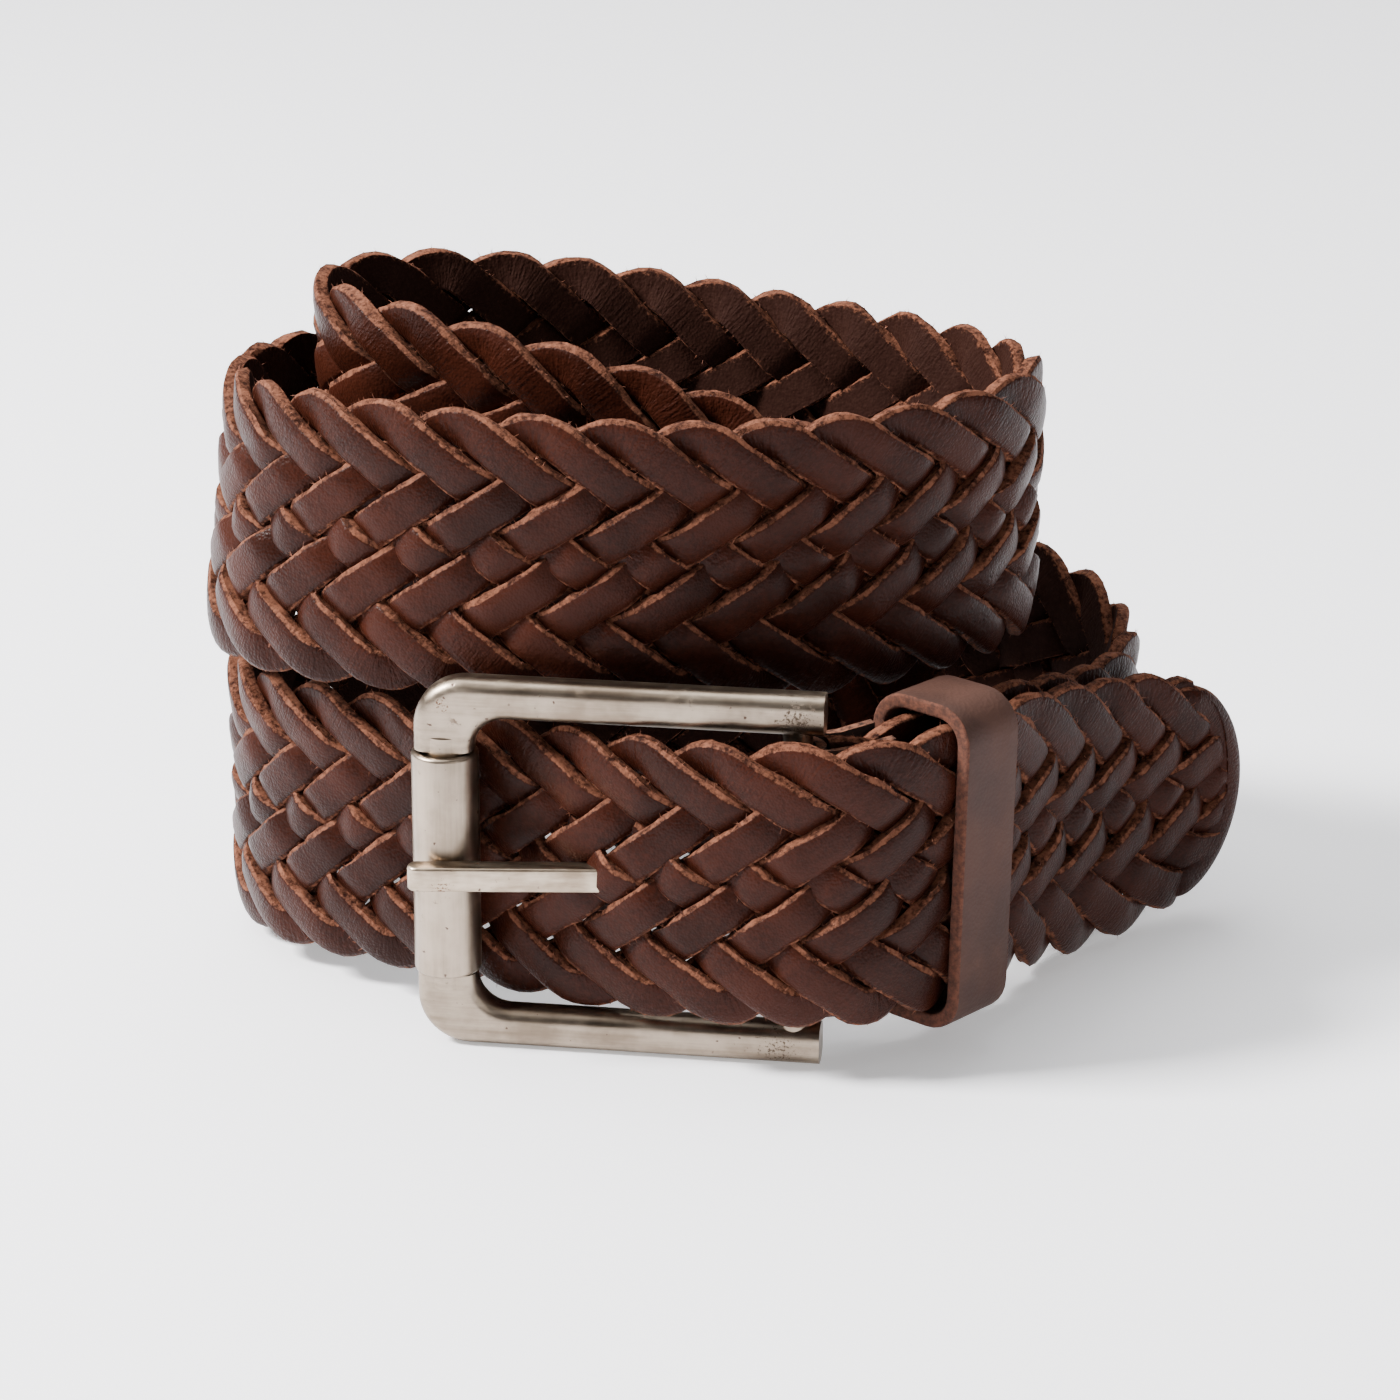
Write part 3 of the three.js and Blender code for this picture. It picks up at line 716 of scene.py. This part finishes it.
fold_end = Vector(hinge_place - fold_middle * tail_side)
extrude(*(back_root - fold_end))
extrude(*(back_end - back_root))
for height in (FRAME_MIDDLE - SLOT_HALF, FRAME_MIDDLE + SLOT_HALF, *CHAPE_ROWS):
    cut_along((0, 0, height), (0, 0, 1))
hinge_flat = Vector(hinge_place)
lead_flat = Vector((tail_lead[0], tail_lead[1], 0)).normalized()
pick(
    chape,
    "FACE",
    lambda middle, along: abs(middle.z - FRAME_MIDDLE) < SLOT_HALF - 0.1
    and (middle - hinge_flat).dot(lead_flat) < FOLD_RADIUS,
)
bpy.ops.mesh.delete(type="FACE")
bpy.ops.mesh.select_all(action="SELECT")
bpy.ops.mesh.remove_doubles(threshold=0.02 * MM)
close_piece()
wall = chape.modifiers.new("leather", "SOLIDIFY")
wall.thickness = CHAPE_THICKNESS * MM
wall.offset = 0
soften(chape, CHAPE_EDGE, 2)
apply_modifiers(chape)
mark_cut(chape, lambda face: abs(face.normal.z) > 0.5)
dress(chape, chape_leather, "buckle_chape")


# Keeper: a plain leather loop, 11 mm wide, closed at the back, through which both layers of the strap pass.
# Its front is worn greyish brown, and its cut edges show lighter fibres.
KEEPER_WIDTH = 11
KEEPER_THICKNESS = 2
KEEPER_SLACK = 0.9
KEEPER_PITCH = 6
KEEPER_CORNER = 5.2
KEEPER_DISTANCE = 13
KEEPER_EDGE = 0.45
KEEPER_ROWS = range(-15, 16, 5)
KEEPER_COLUMNS = (-2.5, 0, 2.5)


def bore(piece, wall):
    """Opens a solid piece from end to end along z, and leaves a wall of this thickness in millimetres"""
    pick(piece, "FACE", lambda middle, along: abs(along.z) > 0.9)
    bpy.ops.mesh.inset(thickness=wall * MM, use_individual=True)
    bpy.ops.mesh.bridge_edge_loops()


select_only()
keeper_inner_depth = KEEPER_PITCH + STRAP_THICKNESS + 2 * KEEPER_SLACK
keeper_depth = keeper_inner_depth + 2 * KEEPER_THICKNESS
keeper_height = STRAP_WIDTH + 2 * KEEPER_SLACK + 2 * KEEPER_THICKNESS
keeper_scale = Vector((keeper_depth, keeper_height, KEEPER_WIDTH)) * MM
bpy.ops.mesh.primitive_cube_add(size=1, location=(KEEPER_PITCH / 2 * MM, 0, 0), scale=keeper_scale)
keeper = start_piece("keeper_band")
pick(keeper, "EDGE", lambda middle, along: abs(along.z) > 0.9)
bpy.ops.mesh.bevel(offset=KEEPER_CORNER * MM, segments=7, affect="EDGES")
bore(keeper, KEEPER_THICKNESS)
# Extra rows of points, as in the chape
for height in KEEPER_ROWS:
    cut_along((0, height, 0), (0, 1, 0))
for width in KEEPER_COLUMNS:
    cut_along((0, 0, width), (0, 0, 1))
close_piece()
soften(keeper, KEEPER_EDGE, 3)
apply_modifiers(keeper)
mark_cut(keeper, lambda face: abs(face.normal.z) > 0.6)
middle, ahead, top, front = [
    Vector(v)
    for v in (
        on_strap(np.array([KEEPER_DISTANCE]), np.zeros(1), np.zeros(1))[0],
        *[
            [np.interp(KEEPER_DISTANCE, distance, values[:, k]) for k in range(3)]
            for values in (tangent, upward, outward)
        ],
    )
]
keeper.matrix_world = Matrix.Translation(middle) @ Matrix((front, top, -ahead)).transposed().to_4x4()
select_only(keeper)
bpy.ops.object.transform_apply(location=True, rotation=True, scale=True)
keeper_leather = plain_leather_material(
    "keeper leather", linear(68, 43, 34), linear(54, 33, 26), linear(94, 56, 42), linear(78, 49, 39)
)
dress(keeper, keeper_leather, "keeper_loop")


# Buckle frame: a nickel-plated casting of two arms with square, rounded corner blocks, the hinge bar and the
# roller's bar. Brushed along the arms, with the plating rubbed dark at the edges and freckled with rust.
ARM_HEIGHT = 5.5
FRAME_DEPTH = 5
CORNER_WIDTH = 8
CORNER_HEIGHT = 10.2
CORNER_RADIUS = 7
CORNER_FILLET = 4.5
ARM_OVERRUN = 3.6
FRAME_EDGE = 1.9
# A narrow border round the flat faces keeps their shading flat.
FACE_INSET = 0.06
ROLLER_BAR_RADIUS = 2.9
HINGE_BAR_RADIUS = 2
BLOCK_INNER = -BAR_SPACING + CORNER_WIDTH / 2


def metal_material(name, stretch, light_colour, dark_colour, marks=()):
    """Brushed metal. stretch is the length of the brush marks along x, y and z, as shares of their width.

    Each of the marks is a rubbed or rusty place: x, y and z in millimetres, radius and colour.
    """
    material, shader, paint = new_material(name)
    place = paint.node("ShaderNodeTexCoord", output=3)
    turned = paint.node("ShaderNodeMapping", {}, {"Vector": place, "Rotation": (0, 0, BUCKLE_TURN)})
    drawn = paint.node("ShaderNodeMapping", {}, {"Vector": turned, "Scale": tuple(1 / v for v in stretch)})
    brush, clouds = noise(drawn, 900, 3, 0.6), noise(place, 110, 4, 0.6)
    stains, specks, grit = noise(place, 330, 5, 0.7), noise(place, 900, 2), noise(place, 2400, 3, 0.7)
    base = (clouds * 0.6 + brush * 0.4).step(0.35, 0.65).mixed(dark_colour, light_colour)
    worn = (stains.step(0.62, 0.7) * clouds.step(0.56, 0.66)).mixed(base, linear(104, 88, 76))
    freckled = specks.step(0.7, 0.76).mixed(worn, linear(74, 50, 38))
    marked = 0
    for *middle, radius, colour in marks:
        middle = tuple(value * MM for value in middle)
        away = paint.node("ShaderNodeVectorMath", {"operation": "DISTANCE"}, {0: place, 1: middle}, output=1)
        mark = (1 - away / (radius * MM) + (grit - 0.5) * 6).step(0.8, 1.2)
        freckled = mark.mixed(freckled, colour)
        marked = mark + marked
    freckled.feed(shader.inputs["Base Color"])
    rough = 0.22 + brush * 0.22 + stains.step(0.5, 0.75) * 0.15 + marked * 0.3
    rough.feed(shader.inputs["Roughness"])
    metallic = 1 - 0.7 * specks.step(0.7, 0.76) - 0.3 * marked
    metallic.feed(shader.inputs["Metallic"])
    height = brush * 0.7 + stains * 0.6 - specks.step(0.7, 0.78) - marked * 0.5
    bump = paint.node("ShaderNodeBump", {}, {"Strength": 0.35, "Distance": 0.06 * MM, "Height": height})
    bump.feed(shader.inputs["Normal"])
    return material


def place_on_hinge(piece):
    """Turns a metal piece, made with the hinge bar at the origin, to where the buckle lies"""
    select_only(piece)
    piece.rotation_euler = (0, 0, -BUCKLE_TURN)
    piece.location = Vector((hinge_place[0], hinge_place[1], 0)) * MM
    bpy.ops.object.transform_apply(location=True, rotation=True, scale=True)


select_only()
block_height = CORNER_HEIGHT + FRAME_EDGE
block_place = Vector((-BAR_SPACING, 0, block_height / 2)) * MM
block_scale = Vector((CORNER_WIDTH, FRAME_DEPTH, block_height)) * MM
bpy.ops.mesh.primitive_cube_add(size=1, location=block_place, scale=block_scale)
arm = start_piece("frame_casting")
pick(arm, "EDGE", lambda middle, along: abs(along.y) > 0.9 and middle.x < -BAR_SPACING and middle.z < 1)
bpy.ops.mesh.bevel(offset=CORNER_RADIUS * MM, segments=14, affect="EDGES")
cut_along((0, 0, ARM_HEIGHT), (0, 0, 1))
pick(arm, "FACE", lambda middle, along: along.x > 0.9 and middle.z < ARM_HEIGHT)
extrude(ARM_OVERRUN + FRAME_EDGE - BLOCK_INNER, 0, 0)
bpy.ops.mesh.select_all(action="SELECT")
bpy.ops.mesh.dissolve_limited(angle_limit=math.radians(1))
pick(
    arm,
    "EDGE",
    lambda middle, along: abs(along.y) > 0.9
    and abs(middle.x - BLOCK_INNER) < 0.01
    and abs(middle.z - ARM_HEIGHT) < 0.01,
)
bpy.ops.mesh.bevel(offset=CORNER_FILLET * MM, segments=10, affect="EDGES")
bpy.ops.object.mode_set(mode="OBJECT")
soften(arm, FRAME_EDGE, 8, clamped=False)
apply_modifiers(arm)
bpy.ops.object.mode_set(mode="EDIT")
cut_along((ARM_OVERRUN, 0, 0), (1, 0, 0), clear_outer=True, use_fill=True)
cut_along((0, 0, CORNER_HEIGHT), (0, 0, 1), clear_outer=True, use_fill=True)
pick(arm, "FACE", lambda middle, along: abs(along.y) > 0.999)
bpy.ops.mesh.inset(thickness=FACE_INSET * MM, use_individual=True)
bpy.ops.mesh.select_all(action="SELECT")
bpy.ops.mesh.duplicate()
bpy.ops.transform.resize(value=(1, 1, -1), center_override=(0, 0, FRAME_MIDDLE * MM))
close_piece()
bars = []
for x, radius, low in (
    (0, HINGE_BAR_RADIUS, ARM_HEIGHT - 2),
    (-BAR_SPACING, ROLLER_BAR_RADIUS, CORNER_HEIGHT - 2),
):
    select_only()
    bar_length = 2 * (FRAME_MIDDLE - low) * MM
    bpy.ops.mesh.primitive_cylinder_add(
        vertices=48, radius=radius * MM, depth=bar_length, location=(x * MM, 0, FRAME_MIDDLE * MM)
    )
    bars.append(bpy.context.object)
select_only(*bars, arm)
bpy.ops.object.join()
place_on_hinge(arm)
RUST = linear(92, 54, 34)
BARE_METAL = linear(96, 82, 70)
# A rust spot on the upper corner, and the rubbed ends of the arms
frame_marks = [
    (-38.7, -39.8, 49, 1.5, RUST),
    (8, -46.3, 49.5, 3.4, BARE_METAL),
    (6, -46, 2.4, 3.6, BARE_METAL),
]
frame_metal = metal_material(
    "frame metal", (14, 1, 1), linear(158, 144, 128), linear(116, 102, 88), frame_marks
)
dress(arm, frame_metal, "buckle_frame", smooth=35)


# Prong: a bent and flattened rod, its eye closed round the hinge bar, its rounded end resting on the roller.
# It comes out through the braid, and its flat top is rubbed bright.
PRONG_THICKNESS = 3
PRONG_OVERRUN = 4
PRONG_SEAT_GAP = 0.3
PRONG_BORE = HINGE_BAR_RADIUS + 0.3
PRONG_EDGE = 1.1
EYE_EDGE = 0.4
prong_reach = ROLLER_RADIUS + PRONG_SEAT_GAP + PRONG_THICKNESS / 2
prong_slant = math.atan2(prong_reach, BAR_SPACING)
prong_end = BAR_SPACING / math.cos(prong_slant) + PRONG_OVERRUN
shank_start = PRONG_BORE + 0.5
select_only()
shank_place = Vector((-(prong_end + shank_start) / 2, 0, 0)) * MM
shank_scale = Vector((prong_end - shank_start, PRONG_THICKNESS, PRONG_HEIGHT)) * MM
bpy.ops.mesh.primitive_cube_add(size=1, location=shank_place, scale=shank_scale)
prong = start_piece("prong_tongue")
pick(prong, "EDGE", lambda middle, along: abs(along.z) > 0.9 and middle.x < -prong_end + 1)
bpy.ops.mesh.bevel(offset=(PRONG_THICKNESS / 2 - 0.02) * MM, segments=8, affect="EDGES")
bpy.ops.object.mode_set(mode="OBJECT")
soften(prong, PRONG_EDGE, 4)
apply_modifiers(prong)
prong.rotation_euler = (0, 0, prong_slant)
bpy.ops.object.transform_apply(location=True, rotation=True, scale=True)
select_only()
bpy.ops.mesh.primitive_cylinder_add(vertices=48, radius=FOLD_RADIUS * MM, depth=PRONG_HEIGHT * MM)
eye = start_piece("prong_eye")
bore(eye, FOLD_RADIUS - PRONG_BORE)
close_piece()
soften(eye, EYE_EDGE, 3)
apply_modifiers(eye)
select_only(eye, prong)
bpy.ops.object.join()
prong.location.z = FRAME_MIDDLE * MM
bpy.ops.object.transform_apply(location=True, rotation=True, scale=True)
place_on_hinge(prong)
prong_marks = [(-38.6, -44.8, 24.6, 2.2, linear(104, 72, 52))]
prong_metal = metal_material(
    "prong metal", (10, 1, 1), linear(184, 168, 149), linear(124, 107, 90), prong_marks
)
dress(prong, prong_metal, "prong", smooth=35)


# Roller: a drawn tube, turned to length, that spins on the frame's bar when the strap is pulled through.
# Its brush marks run up and down.
ROLLER_WALL = 1.2
ROLLER_EDGE = 0.5
roller_height = (roller_high - roller_low).z
select_only()
bpy.ops.mesh.primitive_cylinder_add(
    vertices=96, radius=ROLLER_RADIUS * MM, depth=roller_height, location=roller_middle * MM
)
tube = start_piece("roller_tube")
bore(tube, ROLLER_WALL)
close_piece()
soften(tube, ROLLER_EDGE, 3)
apply_modifiers(tube)
roller_metal = metal_material("roller metal", (1, 1, 16), linear(166, 151, 135), linear(132, 118, 103))
dress(tube, roller_metal, "roller", body="roller", smooth=35)
